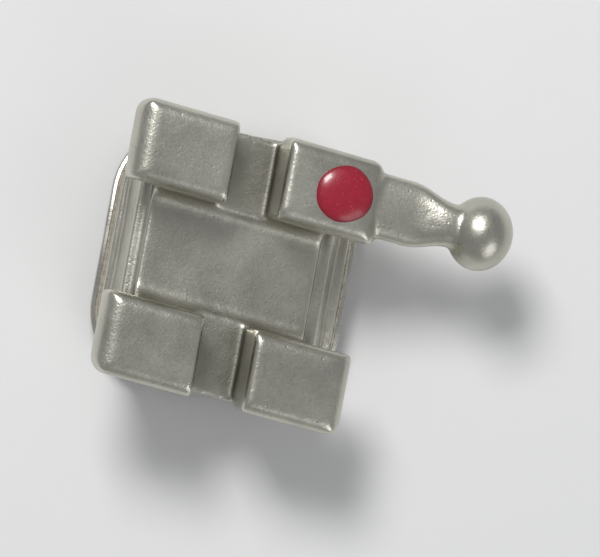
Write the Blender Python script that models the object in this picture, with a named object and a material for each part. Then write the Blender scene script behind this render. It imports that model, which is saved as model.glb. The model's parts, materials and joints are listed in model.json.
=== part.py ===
"""Twin-wing orthodontic bracket for an upper first premolar, with a ball hook. Metres, +Z away from the tooth.

+X runs along the archwire slot, mesially, and +Y points to the gum, where the hook reaches. The part stands on the
rim of its curved pad. The casting is the common volume of three prisms, seen from the side, the end and above.
"""

import math

import bmesh
import bpy
from mathutils import Matrix, Vector

# Archwire slot
SLOT_WIDTH = 0.00056
SLOT_DEPTH = 0.00071
SLOT_LEAD_IN = 0.00005

# Uprights and tie wings, in the slot's own frame
BAR_WIDTH = 0.00088
CHANNEL_WIDTH = 0.00118
CHANNEL_SINK = 0.00008
WING_SPAN = 0.00274
WING_THICKNESS = 0.00043
WING_LIP = 0.00006
WING_TOP_RADIUS = 0.00022
WING_TIP_RADIUS = 0.00011
UNDERCUT_DEPTH = 0.00042
UNDERCUT_HEIGHT = 0.00050
UNDERCUT_RADIUS = 0.00014
BAR_EDGE_RADIUS = 0.00014
CHANNEL_RADIUS = 0.00018
OUTER_CORNER_RADIUS = 0.00026
INNER_CORNER_RADIUS = 0.00014
SIDE_TAPER = 0.00009
BAR_SLANT = math.radians(5.0)

# Skirt between the necks and the pad
SKIRT_STEP = 0.00013
SKIRT_CORNER_RADIUS = 0.00020
SKIRT_FOOT_INSET = 0.00007

# Prescription
TORQUE = math.radians(-7.0)
IN_OUT = 0.00088

# Ball hook on the distogingival wing
HOOK_REACH = 0.00148
HOOK_ROOT_WIDTH = 0.00070
HOOK_NECK_WIDTH = 0.00047
HOOK_ROOT_HEIGHT = 0.00030
HOOK_WAIST_SHARES = (0.44, 0.78)
HOOK_SINK = 0.00008
HOOK_RISE = 0.00003
BALL_DIAMETER = 0.00080
BALL_FLAT = 0.88

# Curved pad: flange of the casting, foil and woven mesh
PAD_WIDTH = 0.00286
PAD_LENGTH = 0.00270
PAD_CORNER_RADIUS = 0.00082
PAD_RADIUS_ACROSS = 0.0042
PAD_RADIUS_ALONG = 0.0090
FLANGE_THICKNESS = 0.00017
FLANGE_INSET = 0.00009
FOIL_THICKNESS = 0.00010
MESH_INSET = 0.00003
MESH_PITCH = 0.0003175
MESH_WIRE = 0.00013
MESH_THICKNESS = 0.00019
BRAZE_GAP = 0.000012

# Paint dot on the hooked wing
DOT_DIAMETER = 0.00064
DOT_HEIGHT = 0.00007
DOT_FROM_TIP = 0.00044
DOT_GAP = 0.000006
DOT_EDGE_SHARE = 0.3
DOT_CROWN_SHARES = ((0.72, 0.80), (0.38, 0.96), (0.0, 1.0))

# Allowances and smoothness of curves
TOOL_MARGIN = 0.00002
ARC_STEPS = 8
CORNER_STEPS = 9
SIDE_STEPS = 5
PAD_RINGS = 6
BALL_SEGMENTS = 32
BALL_RINGS = 20
HOOK_SIDES = 20
HOOK_STATIONS = 14
HOOK_SQUARENESS = 0.7
DOT_STEPS = 28
WELD = 1e-8
SMOOTH_BELOW = math.radians(32)

SLOT_HALF = SLOT_WIDTH / 2
WING_HALF = WING_SPAN / 2
NECK_HALF = WING_HALF - UNDERCUT_DEPTH
CHANNEL_HALF = CHANNEL_WIDTH / 2
BODY_HALF = CHANNEL_HALF + BAR_WIDTH
BAR_CENTRE = CHANNEL_HALF + BAR_WIDTH / 2
WING_TIP_LOW = SLOT_DEPTH - WING_THICKNESS
WING_ROOF = WING_TIP_LOW + WING_LIP
LEDGE = WING_ROOF - UNDERCUT_HEIGHT
SKIRT_HALF = NECK_HALF + SKIRT_STEP
HOOK_LEVEL = SLOT_DEPTH - HOOK_SINK - HOOK_ROOT_HEIGHT / 2
FOIL_LOW = MESH_THICKNESS + BRAZE_GAP
FOIL_TOP = FOIL_LOW + FOIL_THICKNESS
CASTING_LOW = FOIL_TOP + BRAZE_GAP


def clear_scene():
    for old in list(bpy.data.objects):
        bpy.data.objects.remove(old, do_unlink=True)


def make_material(name, colour, roughness, metallic):
    material = bpy.data.materials.new(name)
    material.use_nodes = True
    shader = material.node_tree.nodes["Principled BSDF"]
    shader.inputs["Base Color"].default_value = (*colour, 1.0)
    shader.inputs["Roughness"].default_value = roughness
    shader.inputs["Metallic"].default_value = metallic
    return material


def link_object(name, shape, frame, material=None):
    """Turns a finished bmesh into an object parented to the bracket's frame."""
    bmesh.ops.triangulate(shape, faces=shape.faces)
    bmesh.ops.recalc_face_normals(shape, faces=shape.faces)
    mesh = bpy.data.meshes.new(name)
    shape.to_mesh(mesh)
    shape.free()
    piece = bpy.data.objects.new(name, mesh)
    piece.parent = frame
    bpy.context.scene.collection.objects.link(piece)
    if material is not None:
        mesh.materials.append(material)
        mesh.shade_smooth()
        mesh.set_sharp_from_angle(angle=SMOOTH_BELOW)
    return piece


def as_tool(piece):
    piece.hide_render = True
    piece.display_type = "WIRE"
    return piece


def combine(piece, tool, operation):
    modifier = piece.modifiers.new(f"{operation.lower()}_{tool.name}", "BOOLEAN")
    modifier.operation = operation
    modifier.object = tool
    modifier.solver = "EXACT"


def arc(centre, radius, start, end, steps=ARC_STEPS):
    """Points along an arc, its angles in degrees."""
    points = []
    for step in range(steps + 1):
        angle = math.radians(start + (end - start) * step / steps)
        points.append((centre[0] + radius * math.cos(angle), centre[1] + radius * math.sin(angle)))
    return points


def mirrored(half):
    """Closes an outline whose given half runs from the middle out and back to it."""
    return half + [(-across, up) for across, up in reversed(half)]


def rounded_rectangle(width, length, radius):
    """A pad's outline, with points along its straight sides too, because the pad is bent."""
    right, top = width / 2 - radius, length / 2 - radius
    corners = ((right, top, 0), (-right, top, 90), (-right, -top, 180), (right, -top, 270))
    points = []
    for across, along, start in corners:
        rounded = arc((across, along), radius, start, start + 90, CORNER_STEPS)
        if points:
            points += between(points[-1], rounded[0])
        points += rounded
    return points + between(points[-1], points[0])


def between(start, end):
    """Points inside a straight run, without its ends."""
    shares = [step / SIDE_STEPS for step in range(1, SIDE_STEPS)]
    return [tuple(a + (b - a) * share for a, b in zip(start, end)) for share in shares]


def prism(outline, place, low, high):
    """Extrudes an outline between two depths. place turns (across, up, depth) into a point."""
    shape = bmesh.new()
    corners = [shape.verts.new(place(across, up, low)) for across, up in outline]
    base = shape.faces.new(corners)
    grown = bmesh.ops.extrude_face_region(shape, geom=[base])["geom"]
    moved = [item for item in grown if isinstance(item, bmesh.types.BMVert)]
    travel = Vector(place(0.0, 0.0, high)) - Vector(place(0.0, 0.0, low))
    bmesh.ops.translate(shape, verts=moved, vec=travel)
    return shape


def inset_pad(inset):
    """The pad's outline, drawn in by a distance all round."""
    return rounded_rectangle(
        PAD_WIDTH - 2 * inset, PAD_LENGTH - 2 * inset, PAD_CORNER_RADIUS - inset
    )


def pad_drop(across, along):
    """How far the pad's curve lies below its middle."""
    side = PAD_RADIUS_ACROSS - math.sqrt(PAD_RADIUS_ACROSS**2 - across**2)
    end = PAD_RADIUS_ALONG - math.sqrt(PAD_RADIUS_ALONG**2 - along**2)
    return side + end


def pad_plate(outline, low, high):
    """A plate between two heights over the bonding side, bent to the pad's curve, as rings around its middle."""
    shape = bmesh.new()
    layers = []
    for height in (low, high):
        middle = shape.verts.new((0.0, 0.0, height))
        rings = []
        for ring in range(1, PAD_RINGS + 1):
            share = ring / PAD_RINGS
            rings.append(
                [
                    shape.verts.new((share * x, share * y, height - pad_drop(share * x, share * y)))
                    for x, y in outline
                ]
            )
        layers.append((middle, rings))
    count = len(outline)
    for middle, rings in layers:
        for at in range(count):
            shape.faces.new((middle, rings[0][at], rings[0][(at + 1) % count]))
        for inner, outer in zip(rings, rings[1:]):
            for at in range(count):
                after = (at + 1) % count
                shape.faces.new((inner[at], outer[at], outer[after], inner[after]))
    lower, upper = layers[0][1][-1], layers[1][1][-1]
    for at in range(count):
        after = (at + 1) % count
        shape.faces.new((lower[at], lower[after], upper[after], upper[at]))
    return shape


def side_outline():
    """The casting seen along the slot: slot, tie wings and the necks under them."""
    half = [(SLOT_HALF, 0.0), (SLOT_HALF, SLOT_DEPTH - SLOT_LEAD_IN)]
    half.append((SLOT_HALF + SLOT_LEAD_IN, SLOT_DEPTH))
    half += arc((WING_HALF - WING_TOP_RADIUS, SLOT_DEPTH - WING_TOP_RADIUS), WING_TOP_RADIUS, 90, 0)
    half += arc((WING_HALF - WING_TIP_RADIUS, WING_TIP_LOW + WING_TIP_RADIUS), WING_TIP_RADIUS, 0, -90)
    half += arc((NECK_HALF + UNDERCUT_RADIUS, WING_ROOF - UNDERCUT_RADIUS), UNDERCUT_RADIUS, 90, 180)
    half.append((NECK_HALF, LEDGE - 2 * TOOL_MARGIN))
    return mirrored(half)


def end_outline():
    """The casting seen along the bars: two columns with round edges and the channel between them."""
    low = -IN_OUT - TOOL_MARGIN
    floor = -CHANNEL_SINK
    inner = CHANNEL_HALF
    half = arc((inner - CHANNEL_RADIUS, floor + CHANNEL_RADIUS), CHANNEL_RADIUS, -90, 0)
    top = SLOT_DEPTH - BAR_EDGE_RADIUS
    half += arc((inner + BAR_EDGE_RADIUS, top), BAR_EDGE_RADIUS, 180, 90)
    half += arc((BODY_HALF - BAR_EDGE_RADIUS, top), BAR_EDGE_RADIUS, 90, 0)
    foot = BODY_HALF - SIDE_TAPER
    half += [(BODY_HALF, WING_TIP_LOW), (foot, LEDGE + 2 * TOOL_MARGIN), (foot, low)]
    return mirrored(half)


def plan_outline():
    """The casting seen from above: two bars with rounded ends, joined by the saddle between them."""
    end = WING_HALF + TOOL_MARGIN
    outer = BODY_HALF + TOOL_MARGIN
    inner = CHANNEL_HALF - TOOL_MARGIN
    saddle = NECK_HALF + TOOL_MARGIN
    half = [(inner, -saddle)]
    half += arc((inner + INNER_CORNER_RADIUS, -end + INNER_CORNER_RADIUS), INNER_CORNER_RADIUS, 180, 270)
    half += arc((outer - OUTER_CORNER_RADIUS, -end + OUTER_CORNER_RADIUS), OUTER_CORNER_RADIUS, -90, 0)
    half += arc((outer - OUTER_CORNER_RADIUS, end - OUTER_CORNER_RADIUS), OUTER_CORNER_RADIUS, 0, 90)
    half += arc((inner + INNER_CORNER_RADIUS, end - INNER_CORNER_RADIUS), INNER_CORNER_RADIUS, 90, 180)
    half.append((inner, saddle))
    return mirrored(half)


def slanted(across, along, up):
    """Bars and hook lean by BAR_SLANT, while the slot and the wing tips stay along X."""
    return (across + along * math.tan(BAR_SLANT), along, up)


def hook_shape():
    """The hook's arm, swept from inside the wing to inside the ball."""
    shape = bmesh.new()
    start = WING_HALF - WING_TOP_RADIUS
    end = WING_HALF + HOOK_REACH - BALL_DIAMETER / 2
    loops = []
    for station in range(HOOK_STATIONS):
        share = station / (HOOK_STATIONS - 1)
        eased = waisted(share)
        width = HOOK_ROOT_WIDTH + (HOOK_NECK_WIDTH - HOOK_ROOT_WIDTH) * eased
        height = HOOK_ROOT_HEIGHT + (HOOK_NECK_WIDTH - HOOK_ROOT_HEIGHT) * eased
        along = start + (end - start) * share
        ring = []
        for side in range(HOOK_SIDES):
            angle = 2 * math.pi * side / HOOK_SIDES
            across = squared(math.cos(angle)) * width / 2 - BAR_CENTRE
            up = squared(math.sin(angle)) * height / 2 + HOOK_LEVEL + HOOK_RISE * share
            ring.append(shape.verts.new(slanted(across, along, up)))
        loops.append(ring)
    for near, far in zip(loops, loops[1:]):
        for side in range(HOOK_SIDES):
            after = (side + 1) % HOOK_SIDES
            shape.faces.new((near[side], near[after], far[after], far[side]))
    shape.faces.new(loops[0])
    shape.faces.new(loops[-1])
    return shape


def waisted(share):
    """How far the hook has narrowed from its broad arm to its waist, at a share of its length."""
    first, last = HOOK_WAIST_SHARES
    within = min(max((share - first) / (last - first), 0.0), 1.0)
    return within * within * (3 - 2 * within)


def squared(value):
    """Pushes a circle's coordinate outwards, so that a round section gets flatter sides."""
    return math.copysign(abs(value) ** HOOK_SQUARENESS, value)


def ball_shape():
    shape = bmesh.new()
    bmesh.ops.create_uvsphere(
        shape, u_segments=BALL_SEGMENTS, v_segments=BALL_RINGS, radius=BALL_DIAMETER / 2
    )
    along = WING_HALF + HOOK_REACH - BALL_FLAT * BALL_DIAMETER / 2
    bmesh.ops.scale(shape, verts=shape.verts, vec=(1.0, BALL_FLAT, 1.0))
    bmesh.ops.translate(shape, verts=shape.verts, vec=slanted(-BAR_CENTRE, along, HOOK_LEVEL + HOOK_RISE))
    return shape


def skirt_shape(seat, outline):
    """The wedge that carries the necks: from a ring round them down to the pad's own curve."""
    shape = bmesh.new()
    width = 2 * (BODY_HALF - SIDE_TAPER + TOOL_MARGIN)
    ledge = rounded_rectangle(width, 2 * SKIRT_HALF, SKIRT_CORNER_RADIUS)
    middle_height = CASTING_LOW + FLANGE_THICKNESS / 2
    top = [shape.verts.new(seat @ Vector(slanted(x, y, LEDGE))) for x, y in ledge]
    foot = [shape.verts.new((x, y, middle_height - pad_drop(x, y))) for x, y in outline]
    middle = shape.verts.new((0.0, 0.0, middle_height))
    shape.faces.new(top)
    for at in range(len(top)):
        after = (at + 1) % len(top)
        shape.faces.new((foot[at], foot[after], top[after], top[at]))
        shape.faces.new((middle, foot[after], foot[at]))
    return shape


def make_body(frame, seat, material):
    """The casting: three prisms in common, with hook, skirt and flange added and the pad's curve cut off below."""
    side = prism(side_outline(), lambda v, w, u: (u, v, w), -BODY_HALF * 1.2, BODY_HALF * 1.2)
    end = prism(end_outline(), lambda u, w, v: slanted(u, v, w), -WING_SPAN, WING_SPAN)
    plan = prism(plan_outline(), slanted, -2 * IN_OUT, 2 * SLOT_DEPTH)
    body = link_object("bracket_body", side, frame, material)
    body.matrix_local = seat
    for name, shape, operation in (
        ("end_form", end, "INTERSECT"),
        ("plan_form", plan, "INTERSECT"),
        ("hook_arm", hook_shape(), "UNION"),
        ("hook_ball", ball_shape(), "UNION"),
    ):
        tool = as_tool(link_object(name, shape, frame))
        tool.matrix_local = seat
        combine(body, tool, operation)
    outline = inset_pad(FLANGE_INSET)
    flange = pad_plate(outline, CASTING_LOW - TOOL_MARGIN, CASTING_LOW + FLANGE_THICKNESS)
    tooth = pad_plate(inset_pad(-PAD_CORNER_RADIUS), CASTING_LOW - 2 * IN_OUT, CASTING_LOW)
    for name, shape, operation in (
        ("skirt_form", skirt_shape(seat, inset_pad(FLANGE_INSET + SKIRT_FOOT_INSET)), "UNION"),
        ("flange_form", flange, "UNION"),
        ("tooth_form", tooth, "DIFFERENCE"),
    ):
        combine(body, as_tool(link_object(name, shape, frame)), operation)
    return body


def make_foil(frame, material):
    return link_object("base_foil", pad_plate(inset_pad(0.0), FOIL_LOW, FOIL_TOP), frame, material)


def mesh_lines(size):
    """Places across one direction of the mesh: each wire's two sides and its middle, with the wire's number."""
    count = 2 * int(size / 2 / MESH_PITCH) + 2
    lines = []
    for wire in range(count):
        middle = (wire - (count - 1) / 2) * MESH_PITCH
        lines += [(middle - MESH_WIRE / 2, wire, -1), (middle, wire, 0), (middle + MESH_WIRE / 2, wire, 1)]
    return lines


def wire_depth(column, row):
    """How low the weave reaches at a crossing's nine points: every second crossing has the other wire on top."""
    over = (column[1] + row[1]) % 2 == 0
    if column[2] == 0 and row[2] == 0:
        return 0.0
    if column[2] != 0 and row[2] != 0:
        return MESH_THICKNESS / 2
    along_across = column[2] != 0
    return 0.0 if along_across == over else MESH_THICKNESS - MESH_WIRE


def make_mesh(frame, material):
    """The woven mesh as one wall: ridges for the wires, a gap in each square between them."""
    shape = bmesh.new()
    columns = mesh_lines(PAD_WIDTH)
    rows = mesh_lines(PAD_LENGTH)
    upper, lower = {}, {}
    for i, column in enumerate(columns):
        for j, row in enumerate(rows):
            x, y = column[0], row[0]
            drop = pad_drop(x, y)
            upper[i, j] = shape.verts.new((x, y, MESH_THICKNESS - drop))
            lower[i, j] = shape.verts.new((x, y, wire_depth(column, row) - drop))
    walled = set()
    for i in range(len(columns) - 1):
        for j in range(len(rows) - 1):
            if i % 3 == 2 and j % 3 == 2:
                continue
            walled.add((i, j))
            for layer in (upper, lower):
                corners = ((i, j), (i + 1, j), (i + 1, j + 1), (i, j + 1))
                shape.faces.new([layer[corner] for corner in corners])
    for i, j in walled:
        for (a, b), beside in (
            (((i, j), (i + 1, j)), (i, j - 1)),
            (((i + 1, j), (i + 1, j + 1)), (i + 1, j)),
            (((i + 1, j + 1), (i, j + 1)), (i, j + 1)),
            (((i, j + 1), (i, j)), (i - 1, j)),
        ):
            if beside not in walled:
                shape.faces.new((lower[a], lower[b], upper[b], upper[a]))
    woven = link_object("bonding_mesh", shape, frame, material)
    trim = prism(inset_pad(MESH_INSET), lambda x, y, z: (x, y, z), -IN_OUT, IN_OUT)
    combine(woven, as_tool(link_object("mesh_trim", trim, frame)), "INTERSECT")
    return woven


def make_dot(frame, seat, material):
    """The paint dot: a low drop with a round edge, turned about its own axis."""
    shape = bmesh.new()
    radius = DOT_DIAMETER / 2
    edge = DOT_HEIGHT * DOT_EDGE_SHARE
    profile = [(0.0, 0.0), (radius - edge, 0.0)]
    profile += arc((radius - edge, edge), edge, -60, 30, 3)
    profile += [(radius * out, DOT_HEIGHT * up) for out, up in DOT_CROWN_SHARES]
    chain = [shape.verts.new((out, 0.0, up)) for out, up in profile]
    edges = [shape.edges.new(pair) for pair in zip(chain, chain[1:])]
    turned = {"axis": (0, 0, 1), "cent": (0, 0, 0), "angle": 2 * math.pi}
    bmesh.ops.spin(shape, geom=chain + edges, steps=DOT_STEPS, use_merge=True, **turned)
    bmesh.ops.remove_doubles(shape, verts=shape.verts, dist=WELD)
    middle = slanted(-BAR_CENTRE, WING_HALF - DOT_FROM_TIP, SLOT_DEPTH + DOT_GAP)
    bmesh.ops.translate(shape, verts=shape.verts, vec=middle)
    dot = link_object("id_dot", shape, frame, material)
    dot.matrix_local = seat
    return dot


def stand_on_origin(frame, pieces):
    """Moves the bracket so that the middle of its box's underside is the origin."""
    bpy.context.view_layer.update()
    graph = bpy.context.evaluated_depsgraph_get()
    points = []
    for piece in pieces:
        evaluated = piece.evaluated_get(graph)
        mesh = evaluated.to_mesh()
        points += [evaluated.matrix_world @ vertex.co for vertex in mesh.vertices]
        evaluated.to_mesh_clear()
    low = [min(point[axis] for point in points) for axis in range(3)]
    high = [max(point[axis] for point in points) for axis in range(3)]
    frame.location = (-(low[0] + high[0]) / 2, -(low[1] + high[1]) / 2, -low[2])
    bpy.context.view_layer.update()


def main():
    clear_scene()
    frame = bpy.data.objects.new("bracket_frame", None)
    bpy.context.scene.collection.objects.link(frame)
    seat = Matrix.Translation((0.0, 0.0, IN_OUT)) @ Matrix.Rotation(TORQUE, 4, "X")
    cast = make_material("cast_steel", (0.56, 0.54, 0.49), 0.36, 1.0)
    rolled = make_material("rolled_steel", (0.62, 0.60, 0.56), 0.28, 1.0)
    wire = make_material("wire_steel", (0.50, 0.49, 0.46), 0.42, 1.0)
    paint = make_material("red_paint", (0.50, 0.01, 0.04), 0.35, 0.0)
    pieces = [
        make_body(frame, seat, cast),
        make_foil(frame, rolled),
        make_mesh(frame, wire),
        make_dot(frame, seat, paint),
    ]
    stand_on_origin(frame, pieces)


main()
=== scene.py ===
"""Finished look of a twin-wing orthodontic bracket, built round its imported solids.

Metres, +X along the archwire slot, +Y the way the hook reaches and +Z away from the tooth.
"""

import json
import math

import bmesh
import bpy
import numpy as np
from bpy.props import FloatProperty, FloatVectorProperty, IntProperty, PointerProperty
from mathutils import Matrix, Vector, noise
from mathutils.bvhtree import BVHTree


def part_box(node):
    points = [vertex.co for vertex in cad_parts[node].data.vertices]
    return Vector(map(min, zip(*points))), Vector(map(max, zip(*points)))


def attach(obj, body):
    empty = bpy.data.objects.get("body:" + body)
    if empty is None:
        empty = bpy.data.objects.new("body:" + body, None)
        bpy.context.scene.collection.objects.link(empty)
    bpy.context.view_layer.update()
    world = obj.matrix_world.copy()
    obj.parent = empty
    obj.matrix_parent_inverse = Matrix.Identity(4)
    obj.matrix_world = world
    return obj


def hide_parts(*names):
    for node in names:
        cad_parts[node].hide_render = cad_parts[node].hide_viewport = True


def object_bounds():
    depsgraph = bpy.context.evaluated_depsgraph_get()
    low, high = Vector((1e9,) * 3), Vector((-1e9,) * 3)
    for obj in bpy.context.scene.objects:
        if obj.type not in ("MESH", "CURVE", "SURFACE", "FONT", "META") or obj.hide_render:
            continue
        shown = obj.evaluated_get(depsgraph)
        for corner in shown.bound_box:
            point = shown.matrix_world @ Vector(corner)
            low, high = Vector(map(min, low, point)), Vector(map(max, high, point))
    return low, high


bl_info = {
    "name": "Orthodontic Bracket",
    "version": (1, 0, 0),
    "blender": (4, 5, 0),
    "location": "View3D > Sidebar > Bracket",
    "description": "Builds a bracket's casting, pad, bonding mesh, braze and marker dot, and a plain stage",
    "category": "Object",
}

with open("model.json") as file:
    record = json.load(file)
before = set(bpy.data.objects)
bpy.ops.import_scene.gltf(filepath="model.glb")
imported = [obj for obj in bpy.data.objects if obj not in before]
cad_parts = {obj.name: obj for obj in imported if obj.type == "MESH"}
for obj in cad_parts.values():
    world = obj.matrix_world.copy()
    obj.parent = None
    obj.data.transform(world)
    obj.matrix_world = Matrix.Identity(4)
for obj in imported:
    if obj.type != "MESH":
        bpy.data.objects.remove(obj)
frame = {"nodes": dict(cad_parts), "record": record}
CAD_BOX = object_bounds()

# Working scale: a metre stands for a millimetre while a mesh is refined
UP_SCALE = 1000.0
MERGE = 1e-7
SHARP_ABOVE = math.radians(50)

# Directions that a vertex of the casting looks in, how far off the skin it starts as a share of its reach,
# and the cosine under which a direction grazes the skin and isn't counted
LOOKS = 56
START_OFF = 0.02
GRAZING = 0.1

# How the casting's attributes are read: the bend of a full edge, the shelter at which a recess's painted
# shade starts and the range over which it deepens, and the power that eases both
FULL_EDGE = 0.16
RECESS_START = 0.12
RECESS_RANGE = 0.34
EASING = 1.2

# Faces of the pad: rings from its rim to its middle, steps round a corner and cuts along a straight side
PAD_RINGS = 14
PAD_CORNER_STEPS = 14
PAD_SIDE_CUTS = 11

# The foil's rims turn by more than this, in radians, and are rounded by a share of its thickness
RIM_TURN = 1.0
RIM_ROUNDING = 0.22

# The braze's profile from its toe inwards: steps as shares of its width, heights as shares of its height
MENISCUS = ((0.30, 0.10), (0.26, 0.26), (0.22, 0.50), (0.14, 0.80), (0.20, 1.0))

# How deep the braze's underside and its toe lie in the foil, as shares of its height
BRAZE_DEPTH = 0.2
BRAZE_TOE_DEPTH = 0.08

# The paint drop: its rings as shares of its radius, the two powers of its profile, how deep it is set in as
# a share of its height, how fast its outline wanders, and where its darker rim starts
DOT_RINGS = (0.985, 0.96, 0.925, 0.88, 0.82, 0.74, 0.64, 0.52, 0.38, 0.22, 0.08)
DOT_FLATNESS = 2.3
DOT_ROUNDNESS = 0.72
DOT_SET_IN = 0.35
DOT_WANDER_RATE = 1.3
DOT_RIM_START = 0.8

# The lamps: distance as a share of the bracket's diagonal, then for each its angle from straight above, its
# angle round from +X and its size as a share of the diagonal
LAMP_DISTANCE = 8
KEY_PLACE = (math.radians(35), math.radians(214), 2.4)
FILL_PLACE = (math.radians(60), math.radians(45), 5.0)
SKY_COLOUR = (0.95, 0.97, 1.0, 1.0)
FLOOR_RADIUS = 0.25

# Nearest and farthest point that the camera sees, as shares of its distance
NEAR_SHARE = 0.05
FAR_SHARE = 40


def mount(name):
    for entry in frame["record"]["mounts"]:
        if entry["name"] == name:
            return entry
    raise RuntimeError(f"the packed record has no mount named {name}")


def slot_seat():
    """The slot's own frame: its middle on the slot floor, X along the slot and Z out of it."""
    ends = [mount("slot_floor_mesial"), mount("slot_floor_distal")]
    middle = (Vector(ends[0]["pos_m"]) + Vector(ends[1]["pos_m"])) / 2
    out = Vector(ends[0]["axis"])
    return Matrix.Translation(middle) @ Matrix.Rotation(-math.atan2(out.y, out.z), 4, "X")


class Socket:
    """A node socket whose maths is written with Python's own operators."""

    def __init__(self, tree, socket):
        self.tree = tree
        self.socket = socket

    def __add__(self, other):
        return math_of(self.tree, "ADD", self, other)

    def __sub__(self, other):
        return math_of(self.tree, "SUBTRACT", self, other)

    def __rsub__(self, other):
        return math_of(self.tree, "SUBTRACT", other, self)

    def __mul__(self, other):
        return math_of(self.tree, "MULTIPLY", self, other)

    __radd__ = __add__
    __rmul__ = __mul__


def math_of(tree, operation, *values):
    node = tree.nodes.new("ShaderNodeMath")
    node.operation = operation
    for place, value in zip(node.inputs, values):
        feed(tree, place, value)
    return Socket(tree, node.outputs[0])


def feed(tree, place, value):
    if isinstance(value, Socket):
        tree.links.new(value.socket, place)
    else:
        place.default_value = value


class Finish:
    """A material's node tree, with one method for every node that isn't plain maths."""

    def __init__(self, name):
        self.material = bpy.data.materials.new(name)
        self.material.use_nodes = True
        self.tree = self.material.node_tree
        self.shader = self.tree.nodes["Principled BSDF"]

    def add(self, kind, settings, inputs, output=0):
        node = self.tree.nodes.new(kind)
        for key, value in settings.items():
            setattr(node, key, value)
        for key, value in inputs.items():
            feed(self.tree, node.inputs[key], value)
        return Socket(self.tree, node.outputs[output])

    def object_place(self):
        return self.add("ShaderNodeTexCoord", {}, {}, "Object")

    def attribute(self, name):
        return self.add("ShaderNodeAttribute", {"attribute_name": name}, {}, "Fac")

    def cloud(self, place, size, detail=2.0, roughness=0.5):
        """Soft noise from 0 to 1 whose features are about as large as size."""
        inputs = {"Vector": place, "Scale": 1.0 / size, "Detail": detail, "Roughness": roughness}
        return self.add("ShaderNodeTexNoise", {}, inputs, "Fac")

    def cells(self, place, size):
        """Distance to the middle of the nearest cell, in cells."""
        return self.add("ShaderNodeTexVoronoi", {}, {"Vector": place, "Scale": 1.0 / size}, "Distance")

    def band(self, value, low, high):
        """Smooth step from 0 at low to 1 at high."""
        settings = {"interpolation_type": "SMOOTHSTEP"}
        inputs = {"Value": value, "From Min": low, "From Max": high, "To Min": 0.0, "To Max": 1.0}
        return self.add("ShaderNodeMapRange", settings, inputs, "Result")

    def blend(self, share, first, second):
        """Mixes two colours, each a socket or an RGB triple."""
        node = self.tree.nodes.new("ShaderNodeMix")
        node.data_type = "RGBA"
        feed(self.tree, node.inputs["Factor"], share)
        for key, colour in ((6, first), (7, second)):
            feed(self.tree, node.inputs[key], colour if isinstance(colour, Socket) else (*colour, 1.0))
        return Socket(self.tree, node.outputs[2])

    def relief(self, height, distance):
        inputs = {"Height": height, "Distance": distance, "Strength": 1.0}
        return self.add("ShaderNodeBump", {}, inputs, "Normal")

    def shade(self, **inputs):
        """Sets the shader's sockets, with underscores for the spaces in their names."""
        for key, value in inputs.items():
            feed(self.tree, self.shader.inputs[key.replace("_", " ")], value)
        return self.material


def toned(colour, share):
    return tuple(part * share for part in colour)


def toned_by(finish, colour, share):
    """A colour socket brought down to a share of its light."""
    return finish.blend(1 - share, colour, (0.0, 0.0, 0.0))


def cast_steel(finish):
    """Moulded and sintered steel: fine grain, faint pits, burnished edges, and dull recesses darkened by
    painted shade.
    """
    steel = Finish("cast_steel")
    place = steel.object_place()
    patches = steel.cloud(place, finish.patch_size, 3.0)
    peel = steel.cloud(place, finish.peel_size, 2.0)
    grain = steel.cloud(place, finish.grain_size, 2.0, 0.6)
    pits = steel.band(steel.cells(place, finish.pit_size), 0.10, 0.30)
    rare = steel.band(steel.cloud(place, finish.pit_size * 3.1, 1.0), 0.50, 0.62)
    pore = rare * (1 - pits)
    edge = steel.attribute("edge")
    recess_shade = steel.attribute("recess_shade")
    colour = tuple(finish.colour)
    tone = steel.blend(steel.band(patches, 0.32, 0.68), toned(colour, 0.88), toned(colour, 1.06))
    tone = steel.blend(steel.band(grain, 0.35, 0.65), toned_by(steel, tone, 0.93), tone)
    # Painted shade: a dark colour mixed in where nearby walls shelter the skin
    tone = steel.blend(recess_shade, tone, tuple(finish.recess_shade_colour))
    tone = steel.blend(edge * 0.7, tone, toned(colour, 1.35))
    tone = steel.blend(pore * 0.35, tone, toned(colour, 0.45))
    rough = finish.roughness + (patches - 0.5) * 0.14 + (grain - 0.5) * 0.18
    rough = rough + recess_shade * 0.16 - edge * finish.edge_polish
    height = grain * 0.6 + peel * 0.6 - pore * 0.35
    normal = steel.relief(height, finish.grain_depth)
    return steel.shade(Base_Color=tone, Roughness=rough, Normal=normal, Metallic=1.0)


def foil_steel(finish):
    """Rolled foil: faint rolling lines one way, in soft patches of tone."""
    steel = Finish("foil_steel")
    place = steel.object_place()
    stretched = steel.add("ShaderNodeMapping", {}, {"Vector": place, "Scale": (1.0, 0.06, 1.0)}, "Vector")
    lines = steel.cloud(stretched, finish.line_size, 2.0)
    patches = steel.cloud(place, finish.line_size * 14, 3.0)
    colour = tuple(finish.colour)
    tone = steel.blend(steel.band(patches, 0.3, 0.7), toned(colour, 0.84), toned(colour, 1.05))
    rough = finish.roughness + (lines - 0.5) * 0.18 + (patches - 0.5) * 0.10
    normal = steel.relief(lines, finish.line_depth)
    return steel.shade(Base_Color=tone, Roughness=rough, Normal=normal, Metallic=1.0)


def wire_steel(finish):
    """Drawn wire after diffusion bonding: matt, with painted shade making it darker down between the wires.
    """
    steel = Finish("wire_steel")
    place = steel.object_place()
    frost = steel.cloud(place, finish.frost_size, 3.0, 0.6)
    patches = steel.cloud(place, finish.frost_size * 16, 2.0)
    depth = steel.attribute("depth")
    colour = tuple(finish.colour)
    tone = steel.blend(steel.band(patches, 0.3, 0.7), toned(colour, 0.86), toned(colour, 1.04))
    # Painted shade: the wire darkens towards the foil, down between the wires
    tone = steel.blend(depth * 0.7, tone, toned(colour, 0.40))
    rough = finish.roughness + (frost - 0.5) * 0.2
    normal = steel.relief(frost, finish.frost_depth)
    return steel.shade(Base_Color=tone, Roughness=rough, Normal=normal, Metallic=1.0)


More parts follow.
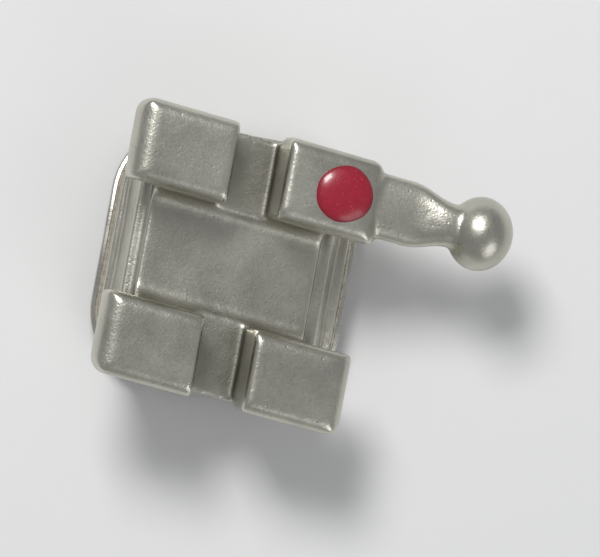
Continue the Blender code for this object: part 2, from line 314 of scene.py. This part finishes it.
def braze_metal(finish):
    """Brazing filler: a warm, smooth meniscus with a few duller spots."""
    metal = Finish("braze_metal")
    place = metal.object_place()
    spots = metal.cloud(place, finish.spot_size, 3.0)
    colour = tuple(finish.colour)
    tone = metal.blend(metal.band(spots, 0.35, 0.65), toned(colour, 0.70), colour)
    rough = finish.roughness + (spots - 0.5) * 0.25
    normal = metal.relief(spots, finish.spot_size * 0.05)
    return metal.shade(Base_Color=tone, Roughness=rough, Normal=normal, Metallic=1.0)


def dot_paint(finish):
    """A drop of paint: deep red, thinner and darker at its rim, with a fine skin."""
    paint = Finish("dot_paint")
    place = paint.object_place()
    skin = paint.cloud(place, finish.skin_size, 2.0)
    specks = paint.band(paint.cloud(place, finish.skin_size * 0.4, 1.0), 0.66, 0.72)
    rim = paint.attribute("rim")
    colour = tuple(finish.colour)
    tone = paint.blend(skin, toned(colour, 0.88), toned(colour, 1.08))
    tone = paint.blend(rim * 0.6, tone, toned(colour, 0.55))
    tone = paint.blend(specks * 0.15, tone, (0.75, 0.25, 0.25))
    rough = finish.roughness + (skin - 0.5) * 0.14
    normal = paint.relief(skin, finish.skin_depth)
    return paint.shade(
        Base_Color=tone, Roughness=rough, Normal=normal, Coat_Weight=0.35, Coat_Roughness=0.12
    )


def floor_card(settings):
    """A pale matt card with a barely visible tooth."""
    card = Finish("floor_card")
    fibre = card.cloud(card.object_place(), 0.0004, 4.0)
    colour = tuple(settings.floor_colour)
    tone = card.blend(fibre, toned(colour, 0.985), colour)
    return card.shade(Base_Color=tone, Roughness=0.85, Specular_IOR_Level=0.2)


def finished(name, mesh, material, node):
    """Links a finished mesh as a piece that rides on the bracket and may stand for a CAD node."""
    piece = bpy.data.objects.new(name, mesh)
    bpy.context.scene.collection.objects.link(piece)
    mesh.materials.clear()
    mesh.materials.append(material)
    mesh.shade_smooth()
    mesh.set_sharp_from_angle(angle=SHARP_ABOVE)
    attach(piece, "root")
    if node:
        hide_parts(node)


def as_mesh(shape, name):
    mesh = bpy.data.meshes.new(name)
    shape.to_mesh(mesh)
    shape.free()
    return mesh


def set_attribute(mesh, name, values):
    layer = mesh.attributes.new(name, "FLOAT", "POINT")
    layer.data.foreach_set("value", np.asarray(values, np.float32))


def remeshed(mesh, voxel):
    """The same closed form in even small faces, so that every edge of the casting can be rounded."""
    helper = bpy.data.objects.new("remesh_helper", mesh)
    bpy.context.scene.collection.objects.link(helper)
    remesh = helper.modifiers.new("even_faces", "REMESH")
    remesh.mode = "VOXEL"
    remesh.voxel_size = voxel
    graph = bpy.context.evaluated_depsgraph_get()
    even = bpy.data.meshes.new_from_object(helper.evaluated_get(graph))
    bpy.data.objects.remove(helper, do_unlink=True)
    return even


def bending(shape):
    """How far each vertex stands out from its neighbours, as a share of their distance."""
    bend = np.zeros(len(shape.verts), np.float32)
    for vertex in shape.verts:
        around = [edge.other_vert(vertex).co for edge in vertex.link_edges]
        middle = sum(around, Vector()) / len(around)
        reach = sum((other - vertex.co).length for other in around) / len(around)
        bend[vertex.index] = (vertex.co - middle).dot(vertex.normal) / reach
    return bend


def spread(shape, values, passes):
    """Averages a value over neighbouring vertices."""
    pairs = np.array([(edge.verts[0].index, edge.verts[1].index) for edge in shape.edges])
    ends = np.concatenate([pairs, pairs[:, ::-1]])
    count = np.bincount(ends[:, 0], minlength=len(values))
    for _ in range(passes):
        summed = np.bincount(ends[:, 0], weights=values[ends[:, 1]], minlength=len(values))
        values = 0.5 * values + 0.5 * summed / count
    return values


def unevenness(shape, depth, size):
    """Gives the sintered skin its slight waviness."""
    shape.normal_update()
    for vertex in shape.verts:
        vertex.co += vertex.normal * depth * noise.noise(vertex.co / size)


def shelter(shape, walls, reach, count):
    """How much of its outlook a vertex loses to nearby walls: 0 in the open, near 1 deep in a recess."""
    golden = math.pi * (3 - math.sqrt(5))
    looks = []
    for step in range(count):
        rise = 1 - 2 * (step + 0.5) / count
        ring = math.sqrt(1 - rise * rise)
        looks.append(Vector((ring * math.cos(golden * step), ring * math.sin(golden * step), rise)))
    recess_shade = np.zeros(len(shape.verts))
    for vertex in shape.verts:
        seen = lost = 0.0
        start = vertex.co + vertex.normal * reach * START_OFF
        for look in looks:
            facing = look.dot(vertex.normal)
            if facing > GRAZING:
                seen += facing
                away = walls.ray_cast(start, look, reach)[3]
                if away is not None:
                    lost += facing * (1 - away / reach)
        recess_shade[vertex.index] = lost / seen
    return recess_shade


class CastingSettings(bpy.types.PropertyGroup):
    """Form and finish of the casting."""

    voxel: FloatProperty(
        name="Face size",
        description="Size of the casting's even faces",
        default=0.0000215,
        unit="LENGTH",
        precision=7,
    )
    rounding: IntProperty(name="Rounding", description="Passes that round the edges", default=7, min=0)
    wave_depth: FloatProperty(
        name="Wave depth",
        description="Unevenness of the sintered skin",
        default=0.0000022,
        unit="LENGTH",
        precision=7,
    )
    wave_size: FloatProperty(
        name="Wave size",
        description="Width of one wave of the skin",
        default=0.00034,
        unit="LENGTH",
        precision=6,
    )
    colour: FloatVectorProperty(
        name="Steel",
        description="Colour of the steel",
        default=(0.56, 0.545, 0.475),
        subtype="COLOR",
        min=0,
        max=1,
    )
    roughness: FloatProperty(name="Roughness", description="Roughness of the satin skin", default=0.36)
    edge_polish: FloatProperty(
        name="Edge polish",
        description="How much smoother the edges are",
        default=0.14,
    )
    patch_size: FloatProperty(
        name="Patch size",
        description="Width of a patch of tone",
        default=0.00055,
        unit="LENGTH",
        precision=6,
    )
    # Painted shade: the dark colour that the casting takes on in its sheltered recesses
    recess_shade_colour: FloatVectorProperty(
        name="Recess",
        description="Colour where tumbling can't reach",
        default=(0.17, 0.165, 0.135),
        subtype="COLOR",
    )
    recess_reach: FloatProperty(
        name="Recess reach",
        description="How near a wall must be to shelter a spot",
        default=0.0011,
        unit="LENGTH",
    )
    peel_size: FloatProperty(
        name="Peel size",
        description="Width of the skin's soft ripples",
        default=0.000075,
        unit="LENGTH",
        precision=6,
    )
    grain_size: FloatProperty(
        name="Grain size", description="Width of a grain", default=0.000022, unit="LENGTH", precision=6
    )
    grain_depth: FloatProperty(
        name="Grain depth", description="Height of the grain", default=0.0000036, unit="LENGTH", precision=7
    )
    pit_size: FloatProperty(
        name="Pit spacing", description="Spacing of the pits", default=0.000060, unit="LENGTH", precision=6
    )


class PadSettings(bpy.types.PropertyGroup):
    """The foil of the pad, its curve and its outline."""

    radius_across: FloatProperty(
        name="Curve across",
        description="Radius mesially to distally",
        default=0.0042,
        unit="LENGTH",
        precision=5,
    )
    radius_along: FloatProperty(
        name="Curve along",
        description="Radius from gum to biting edge",
        default=0.0090,
        unit="LENGTH",
        precision=5,
    )
    corner: FloatProperty(
        name="Corner radius",
        description="Radius of the pad's corners",
        default=0.00082,
        unit="LENGTH",
        precision=6,
    )
    thickness: FloatProperty(
        name="Foil thickness",
        description="Thickness of the foil",
        default=0.00010,
        unit="LENGTH",
        precision=6,
    )
    lift: FloatProperty(
        name="Foil height",
        description="Foil's underside over the bonding side",
        default=0.000202,
        unit="LENGTH",
    )
    colour: FloatVectorProperty(
        name="Foil",
        description="Colour of the foil",
        default=(0.60, 0.58, 0.53),
        subtype="COLOR",
        min=0,
        max=1,
    )
    roughness: FloatProperty(name="Roughness", description="Roughness of the foil", default=0.30)
    line_size: FloatProperty(
        name="Line width",
        description="Width of a rolling line",
        default=0.000022,
        unit="LENGTH",
        precision=6,
    )
    line_depth: FloatProperty(
        name="Line depth",
        description="Depth of a rolling line",
        default=0.0000010,
        unit="LENGTH",
        precision=7,
    )


class WeaveSettings(bpy.types.PropertyGroup):
    """The woven wire of the bonding side."""

    pitch: FloatProperty(
        name="Pitch",
        description="Distance between wires, 80 to the inch",
        default=0.0003175,
        unit="LENGTH",
        precision=7,
    )
    width: FloatProperty(
        name="Wire width",
        description="Width of a pressed wire",
        default=0.00013,
        unit="LENGTH",
        precision=6,
    )
    height: FloatProperty(
        name="Wire height",
        description="Height of a pressed wire",
        default=0.00010,
        unit="LENGTH",
        precision=6,
    )
    inset: FloatProperty(
        name="Inset",
        description="How far the wires stop inside the foil",
        default=0.00003,
        unit="LENGTH",
        precision=6,
    )
    bite: FloatProperty(
        name="Bite",
        description="How deep the wires are bonded into the foil",
        default=0.000008,
        unit="LENGTH",
    )
    sides: IntProperty(name="Sides", description="Faces round a wire", default=12, min=6)
    steps: IntProperty(name="Steps", description="Rings of faces in one pitch", default=8, min=4)
    colour: FloatVectorProperty(
        name="Wire",
        description="Colour of the wire",
        default=(0.55, 0.535, 0.49),
        subtype="COLOR",
        min=0,
        max=1,
    )
    roughness: FloatProperty(name="Roughness", description="Roughness of the wire", default=0.42)
    frost_size: FloatProperty(
        name="Frost size", description="Width of the frosting", default=0.000018, unit="LENGTH", precision=6
    )
    frost_depth: FloatProperty(
        name="Frost depth",
        description="Depth of the frosting",
        default=0.0000014,
        unit="LENGTH",
        precision=7,
    )


class BrazeSettings(bpy.types.PropertyGroup):
    """The meniscus of filler between casting and foil."""

    flange_inset: FloatProperty(
        name="Flange inset",
        description="Casting's flange inside the foil",
        default=0.00009,
        unit="LENGTH",
        precision=6,
    )
    width: FloatProperty(
        name="Width",
        description="How far the filler runs out",
        default=0.000058,
        unit="LENGTH",
        precision=6,
    )
    height: FloatProperty(
        name="Height", description="How far the filler climbs", default=0.000085, unit="LENGTH", precision=6
    )
    colour: FloatVectorProperty(
        name="Filler",
        description="Colour of the filler",
        default=(0.62, 0.57, 0.47),
        subtype="COLOR",
        min=0,
        max=1,
    )
    roughness: FloatProperty(name="Roughness", description="Roughness of the filler", default=0.30)
    spot_size: FloatProperty(
        name="Spot size", description="Width of a dull spot", default=0.00006, unit="LENGTH", precision=6
    )


class DotSettings(bpy.types.PropertyGroup):
    """The paint drop that names the tooth."""

    colour: FloatVectorProperty(
        name="Paint",
        description="Colour of the drop",
        default=(0.33, 0.007, 0.026),
        subtype="COLOR",
        min=0,
        max=1,
    )
    roughness: FloatProperty(name="Roughness", description="Roughness of the paint", default=0.30)
    seat: FloatProperty(
        name="Seat",
        description="Height of the wing's top over the slot's floor",
        default=0.00071,
        unit="LENGTH",
    )
    height: FloatProperty(name="Height", description="Height of the drop", default=0.000072, unit="LENGTH")
    wander: FloatProperty(name="Wander", description="Unevenness of the drop's outline", default=0.05)
    steps: IntProperty(name="Steps", description="Faces round the drop", default=72, min=24)
    skin_size: FloatProperty(
        name="Skin size",
        description="Width of a ripple of the skin",
        default=0.00007,
        unit="LENGTH",
        precision=6,
    )
    skin_depth: FloatProperty(
        name="Skin depth", description="Depth of a ripple", default=0.0000018, unit="LENGTH", precision=7
    )


class StageSettings(bpy.types.PropertyGroup):
    """Floor, light and the photograph's view."""

    floor_colour: FloatVectorProperty(
        name="Floor",
        description="Colour of the floor",
        default=(0.80, 0.80, 0.79),
        subtype="COLOR",
        min=0,
        max=1,
    )
    turn: FloatProperty(
        name="Turn",
        description="How far the bars run down to the right",
        default=math.radians(10.5),
        subtype="ANGLE",
    )
    lean: FloatProperty(
        name="Lean",
        description="Camera's lean from straight above",
        default=math.radians(5),
        subtype="ANGLE",
    )
    lean_towards: FloatProperty(
        name="Lean towards",
        description="Side of the picture that the camera leans to, from its right edge round by its top",
        default=math.radians(176),
        subtype="ANGLE",
    )
    view_width: FloatProperty(
        name="View width",
        description="Width of the view at the bracket",
        default=0.0064,
        unit="LENGTH",
        precision=5,
    )
    lens: FloatProperty(name="Lens", description="Focal length in millimetres", default=300.0)
    key: FloatProperty(name="Key light", description="Light that the key gives on the floor", default=0.72)
    fill: FloatProperty(
        name="Fill light",
        description="Light that the fill gives on the floor",
        default=0.18,
    )
    sky: FloatProperty(name="Sky", description="Level of the light all round", default=0.34)


class PieceOperator:
    """What every operator here shares."""

    bl_options = {"REGISTER", "UNDO"}


class BRACKET_OT_casting(PieceOperator, bpy.types.Operator):
    """Rounds the edges of the cast body and gives it a sintered satin skin"""

    bl_idname = "bracket.casting"
    bl_label = "Casting"

    def execute(self, context):
        form = context.scene.bracket_casting
        shape = bmesh.new()
        shape.from_mesh(frame["nodes"]["bracket_body"].data)
        bmesh.ops.remove_doubles(shape, verts=shape.verts, dist=MERGE)
        bmesh.ops.scale(shape, verts=shape.verts, vec=(UP_SCALE,) * 3)
        walls = BVHTree.FromBMesh(shape)
        rough = as_mesh(shape, "casting_rough")
        even = remeshed(rough, form.voxel * UP_SCALE)
        shape = bmesh.new()
        shape.from_mesh(even)
        for _ in range(form.rounding):
            bmesh.ops.smooth_vert(
                shape, verts=shape.verts, factor=0.5, use_axis_x=True, use_axis_y=True, use_axis_z=True
            )
        unevenness(shape, form.wave_depth * UP_SCALE, form.wave_size * UP_SCALE)
        shape.normal_update()
        shape.verts.index_update()
        looks = LOOKS
        bend = spread(shape, bending(shape), 3)
        recess_shade = spread(shape, shelter(shape, walls, form.recess_reach * UP_SCALE, looks), 2)
        bmesh.ops.scale(shape, verts=shape.verts, vec=(1 / UP_SCALE,) * 3)
        mesh = as_mesh(shape, "casting")
        set_attribute(mesh, "edge", np.clip(bend / FULL_EDGE, 0, 1) ** EASING)
        # Painted shade for the recesses: how much of its outlook each spot of the skin loses to nearby
        # walls
        set_attribute(mesh, "recess_shade", np.clip((recess_shade - RECESS_START) / RECESS_RANGE, 0, 1) ** EASING)
        finished("casting", mesh, cast_steel(form), "bracket_body")
        for spare in (rough, even):
            bpy.data.meshes.remove(spare)
        return {"FINISHED"}


def pad_middle():
    low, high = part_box("base_foil")
    return (low + high) / 2


def pad_height():
    """Height of the middle of the bonding side over the floor."""
    pad = bpy.context.scene.bracket_pad
    low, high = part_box("base_foil")
    return high.z - pad.lift - pad.thickness


def pad_drop(across, along):
    """How far the pad's curve lies below its middle."""
    pad = bpy.context.scene.bracket_pad
    side = pad.radius_across - math.sqrt(pad.radius_across**2 - across**2)
    end = pad.radius_along - math.sqrt(pad.radius_along**2 - along**2)
    return side + end


def bend_to_pad(shape):
    """Bends a flat shape, made round the origin, to the pad's curve and puts it in its place."""
    middle = pad_middle()
    base = pad_height()
    for vertex in shape.verts:
        drop = pad_drop(vertex.co.x, vertex.co.y)
        vertex.co += Vector((middle.x, middle.y, base - drop))


def pad_half():
    low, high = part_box("base_foil")
    return (high.x - low.x) / 2, (high.y - low.y) / 2


def pad_face(shape, inset):
    """A flat rounded rectangle with the pad's outline, drawn in by inset."""
    across, along = (half - inset for half in pad_half())
    corner = bpy.context.scene.bracket_pad.corner - inset
    square = bmesh.ops.create_grid(shape, x_segments=1, y_segments=1, size=1.0)["verts"]
    bmesh.ops.scale(shape, verts=square, vec=(across, along, 1.0))
    bmesh.ops.bevel(
        shape,
        geom=square,
        offset=corner,
        offset_type="OFFSET",
        segments=PAD_CORNER_STEPS,
        profile=0.5,
        affect="VERTICES",
        material=-1,
    )
    straight = [edge for edge in shape.edges if edge.calc_length() > corner]
    bmesh.ops.subdivide_edges(shape, edges=straight, cuts=PAD_SIDE_CUTS)
    return shape.faces[:]


def fill_in_rings(shape, rings):
    """Fills a flat outline with rings. Each ring is its share of the outline and its height."""
    bmesh.ops.delete(shape, geom=shape.faces[:], context="FACES_ONLY")
    loop = shape.edges[:]
    share, height = 1.0, 0.0
    for nearer, higher in rings:
        grown = bmesh.ops.extrude_edge_only(shape, edges=loop)["geom"]
        ring = [item for item in grown if isinstance(item, bmesh.types.BMVert)]
        loop = [item for item in grown if isinstance(item, bmesh.types.BMEdge)]
        bmesh.ops.scale(shape, verts=ring, vec=(nearer / share, nearer / share, 1.0))
        bmesh.ops.translate(shape, verts=ring, vec=(0, 0, higher - height))
        share, height = nearer, higher
    middle = bmesh.ops.holes_fill(shape, edges=loop)["faces"]
    bmesh.ops.poke(shape, faces=middle)


class BRACKET_OT_foil(PieceOperator, bpy.types.Operator):
    """Makes the curved foil of the pad, with its stamped edge rounded over"""

    bl_idname = "bracket.foil"
    bl_label = "Base foil"

    def execute(self, context):
        pad = context.scene.bracket_pad
        shape = bmesh.new()
        pad_face(shape, 0.0)
        fill_in_rings(shape, [(step / PAD_RINGS, 0.0) for step in range(PAD_RINGS - 1, 0, -1)])
        made = bmesh.ops.extrude_face_region(shape, geom=shape.faces[:])["geom"]
        lifted = [item for item in made if isinstance(item, bmesh.types.BMVert)]
        bmesh.ops.translate(shape, verts=lifted, vec=(0, 0, pad.thickness))
        bmesh.ops.recalc_face_normals(shape, faces=shape.faces)
        rims = [edge for edge in shape.edges if edge.is_manifold and edge.calc_face_angle() > RIM_TURN]
        bmesh.ops.bevel(
            shape,
            geom=rims,
            offset=pad.thickness * RIM_ROUNDING,
            segments=3,
            profile=0.5,
            affect="EDGES",
            material=-1,
        )
        bmesh.ops.translate(shape, verts=shape.verts, vec=(0, 0, pad.lift))
        bend_to_pad(shape)
        mesh = as_mesh(shape, "foil")
        finished("foil", mesh, foil_steel(pad), "base_foil")
        return {"FINISHED"}


def wave_wire(weave, length, phase, level):
    """One pressed wire along X, rising and falling over its neighbours, open at its ends."""
    shape = bmesh.new()
    ring = bmesh.ops.create_circle(shape, segments=weave.sides, radius=0.5)["verts"]
    turn = Matrix.Rotation(math.pi / 2, 4, "Y")
    bmesh.ops.transform(shape, matrix=turn, verts=ring)
    bmesh.ops.scale(shape, verts=ring, vec=(1.0, weave.width, weave.height))
    sway = (level - weave.height) / 2
    count = int(math.ceil(length / weave.pitch)) * weave.steps
    stride = weave.pitch / weave.steps

    def place(step):
        along = (step - count / 2) * stride
        swing = math.pi * along / weave.pitch + phase
        slope = math.atan(-sway * math.sin(swing) * math.pi / weave.pitch)
        centre = Vector((along, 0.0, level / 2 + sway * math.cos(swing)))
        return Matrix.Translation(centre) @ Matrix.Rotation(-slope, 4, "Y")

    bmesh.ops.transform(shape, matrix=place(0), verts=ring)
    loop = shape.edges[:]
    for step in range(1, count + 1):
        grown = bmesh.ops.extrude_edge_only(shape, edges=loop)["geom"]
        ring = [item for item in grown if isinstance(item, bmesh.types.BMVert)]
        loop = [item for item in grown if isinstance(item, bmesh.types.BMEdge)]
        bmesh.ops.transform(shape, matrix=place(step) @ place(step - 1).inverted(), verts=ring)
    return shape


def chord(offset, half_across, half_along, corner):
    """Half the length of the pad along a line at some distance from its middle."""
    past = abs(offset) - (half_across - corner)
    if past <= 0:
        return half_along
    return half_along - corner + math.sqrt(max(corner**2 - past**2, 0.0))


class BRACKET_OT_weave(PieceOperator, bpy.types.Operator):
    """Weaves the bonding mesh from pressed wires, trims them to the pad and bends them with it"""

    bl_idname = "bracket.weave"
    bl_label = "Bonding mesh"

    def execute(self, context):
        weave = context.scene.bracket_weave
        pad = context.scene.bracket_pad
        level = pad.lift + weave.bite
        half_across, half_along = (half - weave.inset for half in pad_half())
        corner = pad.corner - weave.inset
        quarter = Matrix.Rotation(math.pi / 2, 3, "Z")
        cloth = bmesh.new()
        for lengthwise in (False, True):
            reach, span = (half_along, half_across) if lengthwise else (half_across, half_along)
            count = 2 * int(span / weave.pitch) + 2
            for wire in range(count):
                offset = (wire - (count - 1) / 2) * weave.pitch
                if abs(offset) > span - weave.width / 4:
                    continue
                half = chord(offset, span, reach, corner)
                phase = math.pi * (wire + (0.5 if lengthwise else 1.5))
                strand = wave_wire(weave, 2 * reach + 2 * weave.pitch, phase, level)
                for side in (1, -1):
                    geometry = strand.verts[:] + strand.edges[:] + strand.faces[:]
                    bmesh.ops.bisect_plane(
                        strand,
                        geom=geometry,
                        plane_co=(side * half, 0, 0),
                        plane_no=(side, 0, 0),
                        clear_outer=True,
                    )
                bmesh.ops.holes_fill(strand, edges=[edge for edge in strand.edges if edge.is_boundary])
                bmesh.ops.translate(strand, verts=strand.verts, vec=(0, offset, 0))
                if lengthwise:
                    bmesh.ops.rotate(strand, verts=strand.verts, cent=(0, 0, 0), matrix=quarter)
                bmesh.ops.recalc_face_normals(strand, faces=strand.faces)
                part = as_mesh(strand, "strand")
                cloth.from_mesh(part)
                bpy.data.meshes.remove(part)
        # How far up towards the foil each point of the wire lies, which its material turns into painted
        # shade
        depth = [min(max(vertex.co.z / level, 0.0), 1.0) ** 1.5 for vertex in cloth.verts]
        bend_to_pad(cloth)
        mesh = as_mesh(cloth, "bonding_weave")
        set_attribute(mesh, "depth", depth)
        finished("bonding_weave", mesh, wire_steel(weave), "bonding_mesh")
        return {"FINISHED"}


class BRACKET_OT_braze(PieceOperator, bpy.types.Operator):
    """Runs the filler's meniscus round the foot of the casting"""

    bl_idname = "bracket.braze"
    bl_label = "Braze"

    def execute(self, context):
        braze = context.scene.bracket_braze
        pad = context.scene.bracket_pad
        top = pad.lift + pad.thickness
        shape = bmesh.new()
        faces = pad_face(shape, braze.flange_inset - braze.width)
        bmesh.ops.translate(shape, verts=shape.verts, vec=(0, 0, top - braze.height * BRAZE_TOE_DEPTH))
        level = 0.0
        for share, rise in MENISCUS:
            bmesh.ops.inset_region(
                shape, faces=faces, thickness=braze.width * share, use_even_offset=True, use_boundary=True
            )
            inner = {vertex for face in faces for vertex in face.verts}
            bmesh.ops.translate(shape, verts=list(inner), vec=(0, 0, (rise - level) * braze.height))
            level = rise
        bmesh.ops.delete(shape, geom=faces, context="FACES_ONLY")
        made = bmesh.ops.extrude_face_region(shape, geom=shape.faces[:])["geom"]
        lowered = [item for item in made if isinstance(item, bmesh.types.BMVert)]
        for vertex in lowered:
            vertex.co.z = top - braze.height * BRAZE_DEPTH
        bmesh.ops.recalc_face_normals(shape, faces=shape.faces)
        bend_to_pad(shape)
        mesh = as_mesh(shape, "braze_seam")
        finished("braze_seam", mesh, braze_metal(braze), None)
        return {"FINISHED"}


class BRACKET_OT_dot(PieceOperator, bpy.types.Operator):
    """Sets the paint drop on the hooked wing, low and slightly uneven"""

    bl_idname = "bracket.dot"
    bl_label = "Marker dot"

    def execute(self, context):
        dot = context.scene.bracket_dot
        low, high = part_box("id_dot")
        seat = slot_seat()
        spot = seat.inverted() @ ((low + high) / 2)
        radius = (high.x - low.x) / 2
        shape = bmesh.new()
        bmesh.ops.create_circle(shape, segments=dot.steps, radius=radius)
        crown = [dot.height * (1 - share**DOT_FLATNESS) ** DOT_ROUNDNESS for share in DOT_RINGS]
        fill_in_rings(shape, zip(DOT_RINGS, crown))
        rim = [edge for edge in shape.edges if edge.is_boundary]
        grown = bmesh.ops.extrude_edge_only(shape, edges=rim)["geom"]
        lowered = [item for item in grown if isinstance(item, bmesh.types.BMVert)]
        bmesh.ops.translate(shape, verts=lowered, vec=(0, 0, -dot.height * DOT_SET_IN))
        bmesh.ops.holes_fill(shape, edges=[edge for edge in shape.edges if edge.is_boundary])
        bmesh.ops.recalc_face_normals(shape, faces=shape.faces)
        edge_share = []
        for vertex in shape.verts:
            out = vertex.co.xy.length / radius
            angle = math.atan2(vertex.co.y, vertex.co.x)
            around = Vector((math.cos(angle), math.sin(angle), 0.0))
            swell = 1 + dot.wander * (noise.noise(around * DOT_WANDER_RATE) - (1 + out) / 2)
            vertex.co.x *= swell
            vertex.co.y *= swell
            edge_share.append(min(max((out - DOT_RIM_START) / (1 - DOT_RIM_START), 0.0), 1.0))
        place = seat @ Matrix.Translation((spot.x, spot.y, dot.seat))
        bmesh.ops.transform(shape, matrix=place, verts=shape.verts)
        mesh = as_mesh(shape, "marker_dot")
        set_attribute(mesh, "rim", edge_share)
        finished("marker_dot", mesh, dot_paint(dot), "id_dot")
        return {"FINISHED"}


def add_lamp(name, target, reach, place, level):
    """A square soft light. At a level of 1, a floor that faces it shows its own colour."""
    away, side, size = place
    distance = LAMP_DISTANCE * reach
    data = bpy.data.lights.new(name, "AREA")
    data.shape = "SQUARE"
    data.size = size * reach
    data.energy = level * math.pi * math.pi * distance**2
    lamp = bpy.data.objects.new(name, data)
    towards = Vector((math.cos(side) * math.sin(away), math.sin(side) * math.sin(away), math.cos(away)))
    turn = (-towards).to_track_quat("-Z", "Y").to_matrix().to_4x4()
    lamp.matrix_world = Matrix.Translation(target + towards * distance) @ turn
    bpy.context.scene.collection.objects.link(lamp)


class BRACKET_OT_stage(PieceOperator, bpy.types.Operator):
    """Sets a pale floor, soft lights and the photograph's camera"""

    bl_idname = "bracket.stage"
    bl_label = "Stage"

    def execute(self, context):
        stage = context.scene.bracket_stage
        low, high = CAD_BOX
        target = (low + high) / 2
        self.floor(stage)
        self.sky(context, stage)
        self.camera(context, stage, target)
        reach = (high - low).length
        add_lamp("key_light", target, reach, KEY_PLACE, stage.key)
        add_lamp("fill_light", target, reach, FILL_PLACE, stage.fill)
        context.scene.view_settings.view_transform = "Standard"
        return {"FINISHED"}

    def floor(self, stage):
        shape = bmesh.new()
        bmesh.ops.create_circle(shape, cap_ends=True, segments=96, radius=FLOOR_RADIUS)
        mesh = as_mesh(shape, "floor")
        floor = bpy.data.objects.new("floor", mesh)
        bpy.context.scene.collection.objects.link(floor)
        mesh.materials.append(floor_card(stage))

    def sky(self, context, stage):
        world = bpy.data.worlds.new("studio")
        world.use_nodes = True
        background = world.node_tree.nodes["Background"]
        background.inputs["Color"].default_value = SKY_COLOUR
        background.inputs["Strength"].default_value = stage.sky
        context.scene.world = world

    def camera(self, context, stage, target):
        """Puts the gum side to the right and down by stage.turn, and leans the camera by stage.lean."""
        right = Vector((-math.sin(stage.turn), math.cos(stage.turn), 0.0))
        up = Vector((-math.cos(stage.turn), -math.sin(stage.turn), 0.0))
        sideways = right * math.cos(stage.lean_towards) + up * math.sin(stage.lean_towards)
        back = (Vector((0, 0, 1)) * math.cos(stage.lean) + sideways * math.sin(stage.lean)).normalized()
        right = (right - back * right.dot(back)).normalized()
        up = back.cross(right)
        data = bpy.data.cameras.new("camera")
        data.lens = stage.lens
        distance = stage.view_width * stage.lens / data.sensor_width
        data.clip_start = distance * NEAR_SHARE
        data.clip_end = distance * FAR_SHARE
        camera = bpy.data.objects.new("camera", data)
        axes = Matrix((right, up, back)).transposed().to_4x4()
        camera.matrix_world = Matrix.Translation(target + back * distance) @ axes
        context.scene.collection.objects.link(camera)
        context.scene.camera = camera


class BRACKET_PT_panel(bpy.types.Panel):
    """Lists what the bracket is built from"""

    bl_idname = "BRACKET_PT_panel"
    bl_label = "Orthodontic Bracket"
    bl_space_type = "VIEW_3D"
    bl_region_type = "UI"
    bl_category = "Bracket"

    def draw(self, context):
        for operator in OPERATORS:
            self.layout.operator(operator.bl_idname)


SETTINGS = {
    "bracket_casting": CastingSettings,
    "bracket_pad": PadSettings,
    "bracket_weave": WeaveSettings,
    "bracket_braze": BrazeSettings,
    "bracket_dot": DotSettings,
    "bracket_stage": StageSettings,
}
OPERATORS = (
    BRACKET_OT_casting,
    BRACKET_OT_foil,
    BRACKET_OT_weave,
    BRACKET_OT_braze,
    BRACKET_OT_dot,
    BRACKET_OT_stage,
)


def register():
    for name, settings in SETTINGS.items():
        bpy.utils.register_class(settings)
        setattr(bpy.types.Scene, name, PointerProperty(type=settings))
    for operator in OPERATORS:
        bpy.utils.register_class(operator)
    bpy.utils.register_class(BRACKET_PT_panel)


def unregister():
    bpy.utils.unregister_class(BRACKET_PT_panel)
    for operator in reversed(OPERATORS):
        bpy.utils.unregister_class(operator)
    for name, settings in reversed(SETTINGS.items()):
        delattr(bpy.types.Scene, name)
        bpy.utils.unregister_class(settings)


def main():
    register()
    bpy.ops.bracket.casting()
    bpy.ops.bracket.foil()
    bpy.ops.bracket.weave()
    bpy.ops.bracket.braze()
    bpy.ops.bracket.dot()
    bpy.ops.bracket.stage()


if __name__ == "__main__":
    main()
